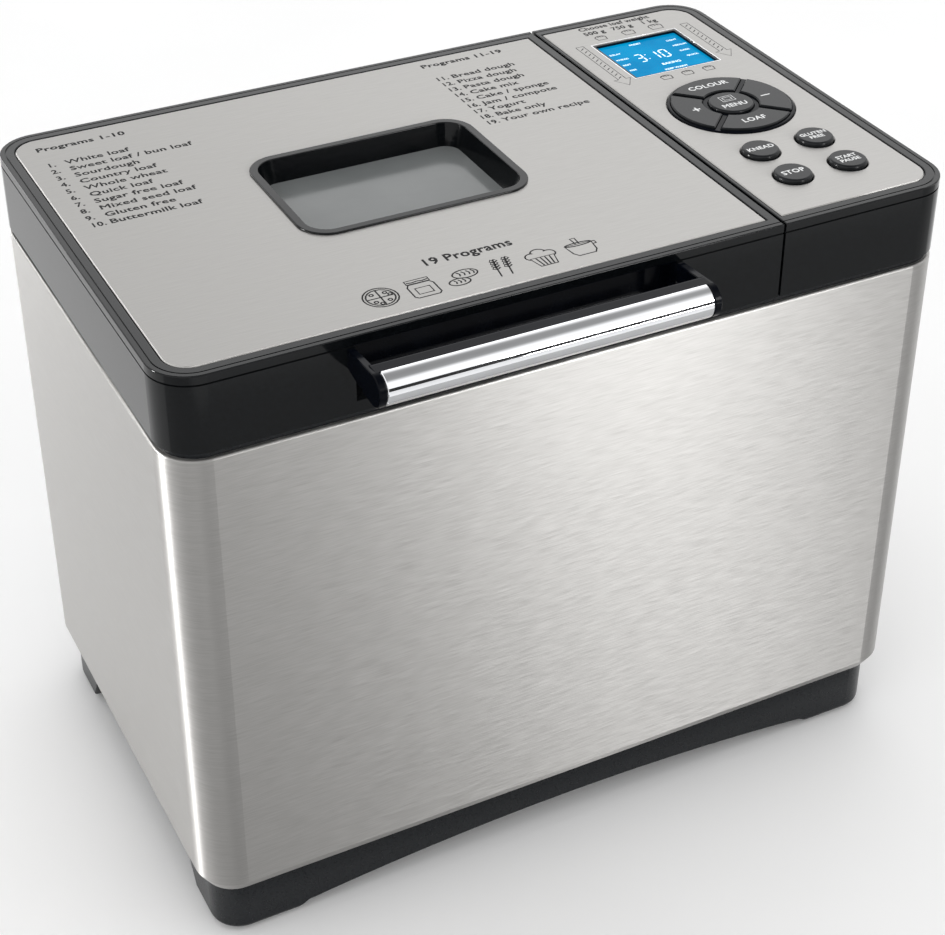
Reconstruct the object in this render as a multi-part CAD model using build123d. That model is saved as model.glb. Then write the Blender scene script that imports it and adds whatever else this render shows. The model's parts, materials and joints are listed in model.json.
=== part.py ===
from build123d import *
import math
import os

# A domestic bread machine. Millimetres, +Z up, +X to the right, the front faces -Y.
# The parts are laid out about the middle of the casing. They are written out moved along Y,
# so that the origin is the middle of the underside of the whole machine's box.

# ---------------------------------------------------------------- driving dimensions
WIDTH = 360.0
DEPTH = 222.0
CORNER_R = 18.0
TOP_Z = 298.0                 # top of the lid rim and of both steel plates
LID_Z = 263.4                 # underside of the lid shell and of the control housing's face
BODY_TOP_Z = 260.2            # top edge of the steel body
BODY_Z = 29.0                 # bottom edge of the steel body
SEAM_X = 91.8                 # the line between the lid and the control panel
SEAM_GAP = 1.2
SHEET = 0.8                   # steel wrap
PLASTIC = 2.5                 # moulded walls
FIT = 0.35                    # usual gap between pieces that must not touch

ROLL_HEIGHT = 6.0             # the steel's bottom edge curls inwards over this height
ROLL_INSET = 3.6
BASE_INSET = 5.4
BASE_R = 14.0                 # the base's corner radius
BASE_EDGE_R = 3.0             # rounding under the feet
BASE_TOP_Z = 38.0
FLOOR_T = 2.5
FLANGE_Z = 22.0               # underside of the base above its side arches
BELLY_Z = 6.5                 # underside of the deep middle that holds the belt drive
BELLY_INSET = 13.0
ARCH_TOP_Z = 13.0             # middle of the long shallow arch under the front and rear edges
ARCH_R = 1143.0
FOOT_Z = 1.2                  # underside of the moulded feet; the rubber stands 1.2 lower
FOOT_X = 33.0                 # flat length of a foot along X
FOOT_Y = 30.0
FOOT_SLOPE_X = 9.0            # where a foot slopes up into the arch
FOOT_SLOPE_Y = 13.0
PAD_X, PAD_Y, PAD_R = 20.0, 18.0, 8.0

REAR_OPEN_X = 150.0           # half the opening in the wrap that the rear panel closes
REAR_OVERLAP = 8.0
SCREW_X = 154.0
SCREW_ZS = (62.0, 150.0, 236.0)
GLAND_X, GLAND_Z, GLAND_R = 128.0, 56.0, 6.4
GLAND_BORE = 3.6

DECK_Z = 260.2
DECK_TOP_Z = 262.6
DECK_INSET = 2.0

CHAMBER_X = -44.5             # middle of the baking chamber and of the drive
CHAMBER_W = 226.0
CHAMBER_D = 166.0
CHAMBER_R = 22.0
CHAMBER_Z = 50.0
LINER_T = 1.0

RIM_W = 6.4                   # width of the plastic rim round the lid plate
SEAM_RIM_W = 4.2
PANEL_SEAM_RIM_W = 1.8
PLATE_T = 1.1
PLATE_SEAT_Z = TOP_Z - PLATE_T
PLATE_GAP = 0.5
CEILING_T = 2.6               # plastic under the plates
GROOVE_Z = 293.4
GROOVE_H = 0.8
GROOVE_DEEP = 0.8
RIM_EDGE_R = 0.5
RIM_LINE_INSET = 2.2          # a fine line runs round the top of the rim
RIM_LINE_W = 0.6
RIM_LINE_DEEP = 0.5
PLATE_BEVEL = 0.4
LINER_Z = 264.6               # underside of the lid's metal liner
LINER_THICK = 1.5

WINDOW_X, WINDOW_Y = -35.7, 3.0
WINDOW_W, WINDOW_D, WINDOW_R = 106.5, 77.0, 14.0
WINDOW_LIP = 3.6
LIP_H = 0.9                   # how far the window's rim stands above the plate
LIP_EDGE_R = 0.4
WINDOW_DEEP = 9.6

HANDLE_X = -31.5
HANDLE_LEN = 149.0
HANDLE_REACH = 22.5           # from the lid's face to the back of the chrome
HANDLE_R = 7.15
HANDLE_Z = 287.6
END_WALL = 3.3
GRIP_BACK = 8.0
SCOOP_DEEP = 15.0
SCOOP_Z = 268.5

LCD_X, LCD_Y, LCD_W, LCD_D = 133.2, 61.0, 47.0, 42.0
DIAL_X, DIAL_Y, DIAL_R = 133.4, -5.0, 29.1
SECTOR_IN, SECTOR_OUT = 13.0, 27.6
DIVIDER = 1.3                 # half the width of the band between two sector buttons
MENU_R = 10.5
KEY_R = 8.4
KEY_PLACES = {
    "button_knead": (119.2, -50.8),
    "button_gluten_free": (147.8, -50.8),
    "button_stop": (119.2, -76.0),
    "button_start": (147.8, -76.0),
}
SECTOR_ANGLES = {"button_minus": 0, "button_crust": 90, "button_plus": 180, "button_size": 270}
BUTTON_TOP_Z = TOP_Z + 2.0
BUTTON_TRAVEL = 1.0
BOARD_TOP_Z = 284.6
SWITCH_H = 4.3

HINGE_XS = (-129.4, 40.6)
HINGE_Y = DEPTH / 2 + 7.0
HINGE_Z = 263.0
KNUCKLE_R = 5.5
LID_KNUCKLE = 14.0            # length of the lid's knuckle, and of each of the body's two
BODY_KNUCKLE = 7.0
PIN_R = 2.0
PIN_FIT = 0.05
REAR_REACH = HINGE_Y + KNUCKLE_R
FRONT_REACH = DEPTH / 2 + HANDLE_REACH + HANDLE_R
SHIFT_Y = (FRONT_REACH - REAR_REACH) / 2

CHASSIS_Z = 34.0
CHASSIS_T = 1.6
SHAFT_R = 4.0
SHAFT_FIT = 0.04
BUSH_R = 7.0
MOTOR_X = 128.0
ROTOR_SHAFT_R = 3.0
BELT_PITCH = 3.0
LARGE_TEETH = 72
SMALL_TEETH = 12
LARGE_PULLEY_R = LARGE_TEETH * BELT_PITCH / (2 * math.pi)
SMALL_PULLEY_R = SMALL_TEETH * BELT_PITCH / (2 * math.pi)
PULLEY_Z, PULLEY_H = 18.0, 11.0
TOOTH_R = 0.75
BELT_T = 1.4
BELT_GAP = 0.3
BELT_H = 8.0

PAN_W, PAN_D, PAN_R = 184.0, 126.0, 26.0
PAN_Z, PAN_TOP_Z = 70.0, 190.0
PAN_T = 1.5
PAN_TAPER = 3.0
RIM_OUT, RIM_H = 3.0, 3.0
BAIL_Z = 194.0
BAIL_R = 2.0
BAIL_REACH = 60.0
LUG_X = PAN_W / 2 + 1.0
ELEMENT_R = 3.25
ELEMENT_Z = 84.0
ELEMENT_W, ELEMENT_D, ELEMENT_CORNER = 208.0, 148.0, 30.0
ELEMENT_BEND = 9.0
SENSOR_Z = 120.0


# ---------------------------------------------------------------- helpers
def slab(width, depth, radius, z0, z1, x=0.0, y=0.0):
    """A plate with rounded vertical corners between two heights."""
    outline = RectangleRounded(width, depth, radius)
    return Pos(x, y, z0) * extrude(outline, z1 - z0)


def block(x0, x1, y0, y1, z0, z1):
    """A plain block between two corners."""
    middle = Pos((x0 + x1) / 2, (y0 + y1) / 2, (z0 + z1) / 2)
    return middle * Box(x1 - x0, y1 - y0, z1 - z0)


def post(x, y, radius, z0, z1):
    """A round post along Z."""
    return Pos(x, y, z0) * extrude(Circle(radius), z1 - z0)


def rod_x(x0, x1, y, z, radius):
    """A round rod along X."""
    return Pos(x0, y, z) * Rot(0, 90, 0) * extrude(Circle(radius), x1 - x0)


def rod_y(x, y0, y1, z, radius):
    """A round rod along Y, from y0 to the larger y1."""
    return Pos(x, y1, z) * Rot(90, 0, 0) * extrude(Circle(radius), y1 - y0)


def casing_slab(inset, z0, z1):
    """The casing's outline, drawn in by inset."""
    radius = CORNER_R - inset if inset < CORNER_R - 2 else 2.0
    return slab(WIDTH - 2 * inset, DEPTH - 2 * inset, radius, z0, z1)


def lid_slab(inset, z0, z1, seam_inset=None):
    """The lid's share of the outline, left of the seam."""
    edge = SEAM_X - SEAM_GAP / 2 - (inset if seam_inset is None else seam_inset)
    return casing_slab(inset, z0, z1) & block(-WIDTH, edge, -DEPTH, DEPTH, z0, z1)


def panel_slab(inset, z0, z1, seam_inset=None):
    """The control panel's share of the outline, right of the seam."""
    edge = SEAM_X + SEAM_GAP / 2 + (inset if seam_inset is None else seam_inset)
    return casing_slab(inset, z0, z1) & block(edge, WIDTH, -DEPTH, DEPTH, z0, z1)


def chamber_slab(grow, z0, z1):
    """The chamber's inner outline, grown on every side."""
    return slab(CHAMBER_W + 2 * grow, CHAMBER_D + 2 * grow, CHAMBER_R + grow, z0, z1, CHAMBER_X)


def tapered_tub(width, depth, radius, z0, z1, draw_in, x=0.0, y=0.0):
    """A solid whose bottom outline is smaller than its top one by draw_in on every side."""
    low = Pos(x, y, z0) * RectangleRounded(width - 2 * draw_in, depth - 2 * draw_in, radius - draw_in)
    high = Pos(x, y, z1) * RectangleRounded(width, depth, radius)
    return loft([low, high])


def sector(inner, outer, half_gap, z0, z1, angle):
    """A quarter of a ring, its sides half_gap away from the diagonals, turned to angle."""
    ring = Circle(outer) - Circle(inner)
    reach = outer * 2
    offset = half_gap * math.sqrt(2)
    wedge = Polygon((offset, 0), (reach, reach - offset), (reach, offset - reach), align=None)
    flat = Rot(0, 0, angle) * (ring & wedge)
    return Pos(DIAL_X, DIAL_Y, z0) * extrude(flat, z1 - z0)


def vertical_edges(shape, radius):
    """Rounds the edges that run along Z."""
    return fillet(shape.edges().filter_by(Axis.Z), radius)


# ---------------------------------------------------------------- casing
def base_halves():
    """Half the base's width and depth."""
    return WIDTH / 2 - BASE_INSET, DEPTH / 2 - BASE_INSET


def base_tray():
    """A tray on four feet: arched edges, a flange above the arches and a deep belly in the middle."""
    half_w, half_d = base_halves()
    flange_top = FLANGE_Z + FLOOR_T
    tray = slab(2 * half_w, 2 * half_d, BASE_R, FOOT_Z, BASE_TOP_Z)
    tray = fillet(tray.edges().group_by(Axis.Z)[0], BASE_EDGE_R)
    tray -= base_slab(PLASTIC, flange_top, BASE_TOP_Z)
    tray -= front_arch(half_w) + side_arch(half_d)
    inside = half_w - FOOT_X - FOOT_SLOPE_X
    tray -= block(-inside, inside, PLASTIC - half_d, half_d - PLASTIC, 0, FLANGE_Z)
    tray += base_slab(BELLY_INSET, BELLY_Z, flange_top)
    tray -= base_slab(BELLY_INSET + PLASTIC, BELLY_Z + FLOOR_T, flange_top)
    for x, y in pad_places():
        tray -= post(x, y, PAD_R + 0.2, FOOT_Z, FOOT_Z + 2)
    for x, y in boss_places():
        tray += post(x, y, 5.0, BELLY_Z + FLOOR_T, CHASSIS_Z)
        tray -= post(x, y, 1.6, BELLY_Z + FLOOR_T + 4, CHASSIS_Z)
    for row in range(7):
        y = -36 + row * 12
        tray -= slab(44, 4, 1.9, BELLY_Z, BELLY_Z + FLOOR_T, 118, y)
    return tray


def base_slab(inset, z0, z1):
    """The base's outline, drawn in by inset."""
    half_w, half_d = base_halves()
    radius = max(BASE_R - inset, 5.0)
    return slab(2 * (half_w - inset), 2 * (half_d - inset), radius, z0, z1)


def front_arch(half_w):
    """What is cut away under the front and rear edges: a long arc that drops to a step at each foot."""
    foot_x = half_w - FOOT_X
    arc_x = foot_x - FOOT_SLOPE_X
    arc_z = ARCH_TOP_Z - arc_x ** 2 / (2 * ARCH_R)
    outline = Wire([
        ThreePointArc((-arc_x, arc_z), (0, ARCH_TOP_Z), (arc_x, arc_z)),
        Line((arc_x, arc_z), (foot_x, 0)),
        Line((foot_x, 0), (-foot_x, 0)),
        Line((-foot_x, 0), (-arc_x, arc_z)),
    ])
    return Plane.XZ * extrude(make_face(outline), DEPTH, both=True)


def side_arch(half_d):
    """What is cut away under the left and right edges."""
    foot_y = half_d - FOOT_Y
    top_y = foot_y - FOOT_SLOPE_Y
    outline = Polygon((-foot_y, 0), (-top_y, FLANGE_Z), (top_y, FLANGE_Z), (foot_y, 0), align=None)
    return Plane.YZ * extrude(outline, WIDTH, both=True)


def boss_places():
    """Where the chassis plate stands on the tray."""
    return [(x, y) for x in (-125.0, 40.0, 156.0) for y in (-52.0, 52.0)]


def pad_places():
    """Where the rubber pads sit under the feet."""
    half_w, half_d = base_halves()
    return [(sx * (half_w - PAD_X), sy * (half_d - PAD_Y)) for sx in (-1, 1) for sy in (-1, 1)]


def rubber_feet():
    feet = []
    for x, y in pad_places():
        pad = post(x, y, PAD_R, 0.0, FOOT_Z + 2)
        feet.append(chamfer(pad.edges().sort_by(Axis.Z)[0], 0.6))
    return feet


def wrap_solid(inset):
    """The steel body's outline with its rolled bottom edge, drawn in by inset."""
    radius = CORNER_R - inset
    top = casing_slab(inset, BODY_Z + ROLL_HEIGHT, BODY_TOP_Z)
    low_radius = radius - ROLL_INSET
    low = Pos(0, 0, BODY_Z) * RectangleRounded(
        WIDTH - 2 * (inset + ROLL_INSET), DEPTH - 2 * (inset + ROLL_INSET), low_radius)
    high = Pos(0, 0, BODY_Z + ROLL_HEIGHT) * RectangleRounded(
        WIDTH - 2 * inset, DEPTH - 2 * inset, radius)
    return top + loft([low, high])


def body_wrap():
    hollow = wrap_solid(SHEET) - block(-WIDTH, WIDTH, -DEPTH, DEPTH, BODY_TOP_Z - SHEET, BODY_TOP_Z)
    outer = wrap_solid(0)
    wrap = fillet(outer.edges().group_by(Axis.Z)[-1], 1.0) - hollow
    wrap -= casing_slab(5.0, BODY_TOP_Z - 2, BODY_TOP_Z + 1)
    wrap -= block(-REAR_OPEN_X, REAR_OPEN_X, DEPTH / 2 - 8, DEPTH, BODY_Z - 1, BODY_TOP_Z + 1)
    for x in (-SCREW_X, SCREW_X):
        for z in SCREW_ZS:
            wrap -= rod_y(x, DEPTH / 2 - 3, DEPTH / 2 + 1, z, 1.7)
    return wrap


def rear_panel():
    y1 = DEPTH / 2 - SHEET
    y0 = y1 - 1.0
    half = REAR_OPEN_X + REAR_OVERLAP
    panel = block(-half, half, y0, y1, BODY_Z + ROLL_HEIGHT, BODY_TOP_Z - SHEET)
    for x in (-SCREW_X, SCREW_X):
        for z in SCREW_ZS:
            panel -= rod_y(x, y0 - 1, y1 + 1, z, 1.7)
    panel -= rod_y(GLAND_X, y0 - 1, y1 + 1, GLAND_Z, GLAND_R + 0.1)
    for row in range(10):
        for column in (-80.0, -8.0):
            panel -= slot_y(column, 48.0, 196.0 - row * 8.0, y0 - 1, y1 + 1)
        panel -= slot_y(110.0, 40.0, 156.0 - row * 8.0, y0 - 1, y1 + 1)
    return panel


def slot_y(x, length, z, y0, y1):
    """A round-ended slot along X, cut through in Y."""
    outline = SlotOverall(length, 3.0)
    return Pos(x, y1, z) * Rot(90, 0, 0) * extrude(outline, y1 - y0)


def cord_gland():
    y1 = DEPTH / 2 - SHEET
    bush = rod_y(GLAND_X, y1 - 6, y1, GLAND_Z, GLAND_R)
    bush += rod_y(GLAND_X, y1, y1 + 3.5, GLAND_Z, GLAND_R + 3)
    bush += rod_y(GLAND_X, y1 - 5, y1 - 1.2, GLAND_Z, GLAND_R + 1.4)
    return bush - rod_y(GLAND_X, y1 - 7, y1 + 4, GLAND_Z, GLAND_BORE)


def body_screws():
    screws = []
    y1 = DEPTH / 2
    for x in (-SCREW_X, SCREW_X):
        for z in SCREW_ZS:
            head = rod_y(x, y1, y1 + 2.0, z, 3.4)
            head = chamfer(head.edges().sort_by(Axis.Y)[-1], 0.6)
            head -= block(x - 2.2, x + 2.2, y1 + 1.2, y1 + 3, z - 0.4, z + 0.4)
            head -= block(x - 0.4, x + 0.4, y1 + 1.2, y1 + 3, z - 2.2, z + 2.2)
            screws.append(head + rod_y(x, y1 - 7, y1, z, 1.5))
    return screws


def top_deck():
    deck = casing_slab(DECK_INSET, DECK_Z, DECK_TOP_Z)
    skirt = casing_slab(6.0, DECK_Z - 12, DECK_Z) - casing_slab(8.0, DECK_Z - 12, DECK_Z)
    deck += skirt
    deck -= chamber_slab(-2.0, DECK_Z - 1, DECK_TOP_Z + 1)
    deck -= slab(60, 150, 6, DECK_Z - 1, DECK_TOP_Z + 1, 136, 0)
    return deck


def chamber_liner():
    liner = chamber_slab(LINER_T, CHAMBER_Z, DECK_Z - 0.4)
    liner += chamber_slab(7.0, DECK_Z - 1.6, DECK_Z - 0.4)
    liner -= chamber_slab(0.0, CHAMBER_Z + LINER_T, DECK_Z)
    liner -= post(CHAMBER_X, 0, 20, CHAMBER_Z - 1, CHAMBER_Z + 2)
    right = CHAMBER_X + CHAMBER_W / 2
    for y in (-16.0, 16.0):
        liner -= rod_x(right - 2, right + 3, y, ELEMENT_Z, ELEMENT_R + 1)
    liner -= rod_x(right - 2, right + 3, 44.0, SENSOR_Z, 3.3)
    for clip in element_clips():
        liner += clip
    return liner


def heat_shield():
    x0 = CHAMBER_X + CHAMBER_W / 2 + 9
    shield = block(x0, x0 + 0.8, -90, 90, CHASSIS_Z + CHASSIS_T, 246)
    shield += block(x0, x0 + 12, -90, 90, CHASSIS_Z + CHASSIS_T, CHASSIS_Z + CHASSIS_T + 0.8)
    for y in (-16.0, 16.0):
        shield -= rod_x(x0 - 1, x0 + 2, y, ELEMENT_Z, 8)
    return shield - rod_x(x0 - 1, x0 + 2, 44.0, SENSOR_Z, 6)


# ---------------------------------------------------------------- lid
def edge_grooves():
    """The groove round the sides of the lid and panel, and the fine line on top of their rim."""
    grooves = casing_slab(-1, GROOVE_Z, GROOVE_Z + GROOVE_H)
    grooves -= casing_slab(GROOVE_DEEP, GROOVE_Z, GROOVE_Z + GROOVE_H)
    line = casing_slab(RIM_LINE_INSET, TOP_Z - RIM_LINE_DEEP, TOP_Z + 1)
    line -= casing_slab(RIM_LINE_INSET + RIM_LINE_W, TOP_Z - RIM_LINE_DEEP, TOP_Z + 1)
    return grooves + line


def lid_bosses():
    """Where the liner's screws hold it to the lid shell."""
    corners = [(x, y) for x in (-160.0, 74.0) for y in (-100.0, 100.0)]
    return corners + [(CHAMBER_X, 100.0)]


def lid_shell():
    ceiling_z = PLATE_SEAT_Z - CEILING_T
    shell = lid_slab(0, LID_Z, TOP_Z)
    shell -= lid_slab(PLASTIC, LID_Z, ceiling_z)
    shell -= lid_slab(RIM_W, PLATE_SEAT_Z, TOP_Z + 1, SEAM_RIM_W)
    shell = fillet(shell.edges().group_by(Axis.Z)[-1], RIM_EDGE_R)
    shell -= edge_grooves()
    shell += scoop_walls()
    shell -= scoop_space()
    shell += window_well()
    shell -= window_hole()
    for x, y in lid_bosses():
        shell += post(x, y, 4.0, LINER_Z + LINER_THICK, ceiling_z)
        shell -= post(x, y, 1.4, LINER_Z + LINER_THICK, ceiling_z - 2)
    return shell


def scoop_half_width():
    return HANDLE_LEN / 2 - END_WALL


def scoop_walls():
    half = scoop_half_width() + 2
    back = -DEPTH / 2 + SCOOP_DEEP + 2
    return block(HANDLE_X - half, HANDLE_X + half, -DEPTH / 2 + 1, back, SCOOP_Z - 2, GROOVE_Z + 1.5)


def scoop_space():
    half = scoop_half_width()
    space = block(HANDLE_X - half, HANDLE_X + half, -DEPTH / 2 - 2, -DEPTH / 2 + SCOOP_DEEP,
                  SCOOP_Z, GROOVE_Z)
    back_edges = space.edges().group_by(Axis.Y)[-1]
    return fillet(back_edges, 6.0)


def window_well():
    z0 = TOP_Z - WINDOW_DEEP - 6
    outer = slab(WINDOW_W - 1, WINDOW_D - 1, WINDOW_R, z0, PLATE_SEAT_Z - 1, WINDOW_X, WINDOW_Y)
    return outer


def window_hole():
    z0 = TOP_Z - WINDOW_DEEP - 6
    ledge_z = TOP_Z - WINDOW_DEEP - 3.2
    hole = slab(WINDOW_W - 16, WINDOW_D - 16, WINDOW_R - 5, z0 - 1, TOP_Z, WINDOW_X, WINDOW_Y)
    hole += slab(WINDOW_W - 5, WINDOW_D - 5, WINDOW_R - 2, ledge_z, TOP_Z, WINDOW_X, WINDOW_Y)
    return hole


def lid_plate():
    inset = RIM_W + PLATE_GAP
    plate = lid_slab(inset, PLATE_SEAT_Z, TOP_Z, SEAM_RIM_W + PLATE_GAP)
    plate = chamfer(plate.edges().group_by(Axis.Z)[-1], PLATE_BEVEL)
    plate -= slab(WINDOW_W - 5, WINDOW_D - 5, WINDOW_R - 2, PLATE_SEAT_Z, TOP_Z, WINDOW_X, WINDOW_Y)
    return plate


def window_bezel():
    glass_z = TOP_Z - WINDOW_DEEP
    ring = slab(WINDOW_W, WINDOW_D, WINDOW_R, TOP_Z, TOP_Z + LIP_H, WINDOW_X, WINDOW_Y)
    ring += slab(WINDOW_W - 5.6, WINDOW_D - 5.6, WINDOW_R - 2.2, glass_z, TOP_Z, WINDOW_X, WINDOW_Y)
    ring -= tapered_tub(WINDOW_W - 2 * WINDOW_LIP, WINDOW_D - 2 * WINDOW_LIP, WINDOW_R - WINDOW_LIP,
                        glass_z, TOP_Z + LIP_H, 3.0, WINDOW_X, WINDOW_Y)
    return fillet(ring.edges().group_by(Axis.Z)[-1], LIP_EDGE_R)


def window_glass():
    glass_z = TOP_Z - WINDOW_DEEP
    return slab(WINDOW_W - 5.6, WINDOW_D - 5.6, WINDOW_R - 2.2, glass_z - 3, glass_z,
                WINDOW_X, WINDOW_Y)


def lid_liner():
    liner = lid_slab(PLASTIC + 0.5, LINER_Z, LINER_Z + LINER_THICK)
    collar = slab(112, 82, 8, LINER_Z, LINER_Z + 6, WINDOW_X, WINDOW_Y)
    liner += collar
    liner -= slab(98, 68, 8, LINER_Z - 1, LINER_Z + 7, WINDOW_X, WINDOW_Y)
    liner -= slab(108, 78, 7, LINER_Z + 2, LINER_Z + 7, WINDOW_X, WINDOW_Y)
    for x, y in lid_bosses():
        liner -= post(x, y, 1.8, LINER_Z - 1, LINER_Z + 3)
    return liner


def inner_glass():
    return slab(107.4, 77.4, 6.8, LINER_Z + 2, LINER_Z + 5, WINDOW_X, WINDOW_Y)


def lid_seal():
    return chamber_slab(9.0, LINER_Z - 1.5, LINER_Z) - chamber_slab(4.0, LINER_Z - 1.5, LINER_Z)


def lid_screws():
    screws = []
    for x, y in lid_bosses():
        head = post(x, y, 3.2, LINER_Z - 1.2, LINER_Z)
        head -= block(x - 2, x + 2, y - 0.4, y + 0.4, LINER_Z - 1.2, LINER_Z - 0.6)
        head -= block(x - 0.4, x + 0.4, y - 2, y + 2, LINER_Z - 1.2, LINER_Z - 0.6)
        screws.append(head + post(x, y, 1.4, LINER_Z, LINER_Z + 12))
    return screws


def handle_frame():
    half = HANDLE_LEN / 2
    bar_y = -DEPTH / 2 - HANDLE_REACH
    frame = None
    for sx in (-1, 1):
        x0 = HANDLE_X + sx * half - (END_WALL if sx > 0 else 0)
        wall = end_wall_profile(bar_y, x0)
        frame = wall if frame is None else frame + wall
    inner = half - END_WALL / 2
    grip = block(HANDLE_X - inner, HANDLE_X + inner, bar_y, bar_y + GRIP_BACK,
                 HANDLE_Z - HANDLE_R, HANDLE_Z + HANDLE_R)
    grip = fillet(grip.edges().filter_by(Axis.X).group_by(Axis.Y)[-1], 3.0)
    core = rod_x(HANDLE_X - inner, HANDLE_X + inner, bar_y, HANDLE_Z, HANDLE_R - 1.4)
    return frame + grip + core


def end_wall_profile(bar_y, x0):
    """An end wall, rooted in the lid's front face and rounded round the end of the bar."""
    root_y = -DEPTH / 2
    top_z = HANDLE_Z + HANDLE_R
    low_z = HANDLE_Z - HANDLE_R
    root_top = GROOVE_Z - 0.6
    root_low = HANDLE_Z - 3.4
    outline = Wire([
        Line((root_y, root_top), (bar_y, top_z)),
        ThreePointArc((bar_y, top_z), (bar_y - HANDLE_R, HANDLE_Z), (bar_y, low_z)),
        ThreePointArc((bar_y, low_z), (root_y - 9, low_z + 1.6), (root_y, root_low)),
        Line((root_y, root_low), (root_y, root_top)),
    ])
    wall = Plane.YZ * extrude(make_face(outline), END_WALL)
    faces = wall.faces().filter_by(Axis.X)
    edges = [e for face in faces for e in face.edges() if e.center().Y < root_y - 0.1]
    return Pos(x0, 0, 0) * chamfer(edges, 0.4)


def handle_bar():
    half = HANDLE_LEN / 2 - END_WALL - 0.05
    bar_y = -DEPTH / 2 - HANDLE_REACH
    outer = rod_x(HANDLE_X - half, HANDLE_X + half, bar_y, HANDLE_Z, HANDLE_R)
    outer = chamfer(outer.edges().filter_by(GeomType.CIRCLE), 0.5)
    inner = rod_x(HANDLE_X - half, HANDLE_X + half, bar_y, HANDLE_Z, HANDLE_R - 1.3)
    front = block(-WIDTH, WIDTH, bar_y - 20, bar_y, HANDLE_Z - 20, HANDLE_Z + 20)
    return (outer - inner) & front


# ---------------------------------------------------------------- hinge
def lid_hinge_arms():
    arms = []
    face_y = DEPTH / 2
    for x in HINGE_XS:
        half = LID_KNUCKLE / 2
        arm = block(x - half, x + half, face_y, face_y + 2.5, HINGE_Z + 3, HINGE_Z + 26)
        arm += block(x - half, x + half, face_y, HINGE_Y, HINGE_Z + 1.5, HINGE_Z + KNUCKLE_R)
        arm += rod_x(x - half, x + half, HINGE_Y, HINGE_Z, KNUCKLE_R)
        arm -= rod_x(x - half, x + half, HINGE_Y, HINGE_Z, PIN_R + PIN_FIT)
        arms.append(arm)
    return arms


def hinge_brackets():
    brackets = []
    face_y = DEPTH / 2 - SHEET
    for x in HINGE_XS:
        inner = LID_KNUCKLE / 2 + 0.5
        outer = inner + BODY_KNUCKLE
        bracket = block(x - outer, x + outer, face_y, face_y + 2.5, HINGE_Z - 34, HINGE_Z - 10)
        for x0, x1 in ((x - outer, x - inner), (x + inner, x + outer)):
            bracket += block(x0, x1, face_y + 0.4, face_y + 2.5, HINGE_Z - 34, HINGE_Z - 3)
            bracket += block(x0, x1, face_y + 1.5, HINGE_Y, HINGE_Z - KNUCKLE_R, HINGE_Z)
            bracket += rod_x(x0, x1, HINGE_Y, HINGE_Z, KNUCKLE_R)
            bracket -= rod_x(x0, x1, HINGE_Y, HINGE_Z, PIN_R)
        brackets.append(bracket)
    return brackets


def hinge_pins():
    half = LID_KNUCKLE / 2 + 0.5 + BODY_KNUCKLE
    return [rod_x(x - half, x + half, HINGE_Y, HINGE_Z, PIN_R) for x in HINGE_XS]


# ---------------------------------------------------------------- control panel
def control_housing():
    ceiling_z = PLATE_SEAT_Z - CEILING_T
    housing = panel_slab(0, LID_Z, TOP_Z)
    housing -= panel_slab(PLASTIC, LID_Z, ceiling_z)
    housing += panel_slab(1.5, DECK_TOP_Z, LID_Z + 2) - panel_slab(4.0, DECK_TOP_Z, LID_Z + 2)
    housing -= panel_slab(RIM_W, PLATE_SEAT_Z, TOP_Z + 1, PANEL_SEAM_RIM_W)
    housing = fillet(housing.edges().group_by(Axis.Z)[-1], RIM_EDGE_R)
    housing -= edge_grooves()
    housing -= slab(LCD_W + 2, LCD_D + 2, 2, ceiling_z - 1, TOP_Z, LCD_X, LCD_Y)
    housing -= post(DIAL_X, DIAL_Y, SECTOR_OUT + 0.6, ceiling_z - 1, TOP_Z)
    for x, y in KEY_PLACES.values():
        housing -= post(x, y, KEY_R + FIT, ceiling_z - 1, TOP_Z)
    for x in (102.0, 168.0):
        for y in (-88.0, 88.0):
            housing += post(x, y, 3.0, BOARD_TOP_Z, ceiling_z + 1)
    return housing


def control_plate():
    plate = panel_slab(RIM_W + PLATE_GAP, PLATE_SEAT_Z, TOP_Z, PANEL_SEAM_RIM_W + PLATE_GAP)
    plate -= slab(LCD_W, LCD_D, 1.2, PLATE_SEAT_Z, TOP_Z, LCD_X, LCD_Y)
    plate -= post(DIAL_X, DIAL_Y, DIAL_R + 0.3, PLATE_SEAT_Z, TOP_Z)
    for x, y in KEY_PLACES.values():
        plate -= post(x, y, KEY_R + 0.5, PLATE_SEAT_Z, TOP_Z)
    return chamfer(plate.edges().group_by(Axis.Z)[-1], PLATE_BEVEL)


def lcd_frame():
    frame = slab(LCD_W - 0.4, LCD_D - 0.4, 1.0, TOP_Z - 3.4, TOP_Z - 0.3, LCD_X, LCD_Y)
    frame -= slab(LCD_W - 2.4, LCD_D - 2.4, 0.6, TOP_Z - 3.4, TOP_Z - 0.3, LCD_X, LCD_Y)
    return frame


def lcd_glass():
    return slab(LCD_W - 2.4, LCD_D - 2.4, 0.6, TOP_Z - 3.4, TOP_Z - 1.6, LCD_X, LCD_Y)


def lcd_module():
    body = block(LCD_X - 24, LCD_X + 24, LCD_Y - 22, LCD_Y + 22, BOARD_TOP_Z + 3, TOP_Z - 6.5)
    body += block(LCD_X - 20, LCD_X + 20, LCD_Y - 18, LCD_Y + 18, TOP_Z - 6.5, TOP_Z - 3.4)
    for sx in (-1, 1):
        for sy in (-1, 1):
            body += post(LCD_X + sx * 21, LCD_Y + sy * 19, 2, BOARD_TOP_Z, BOARD_TOP_Z + 3)
    return body


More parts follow.
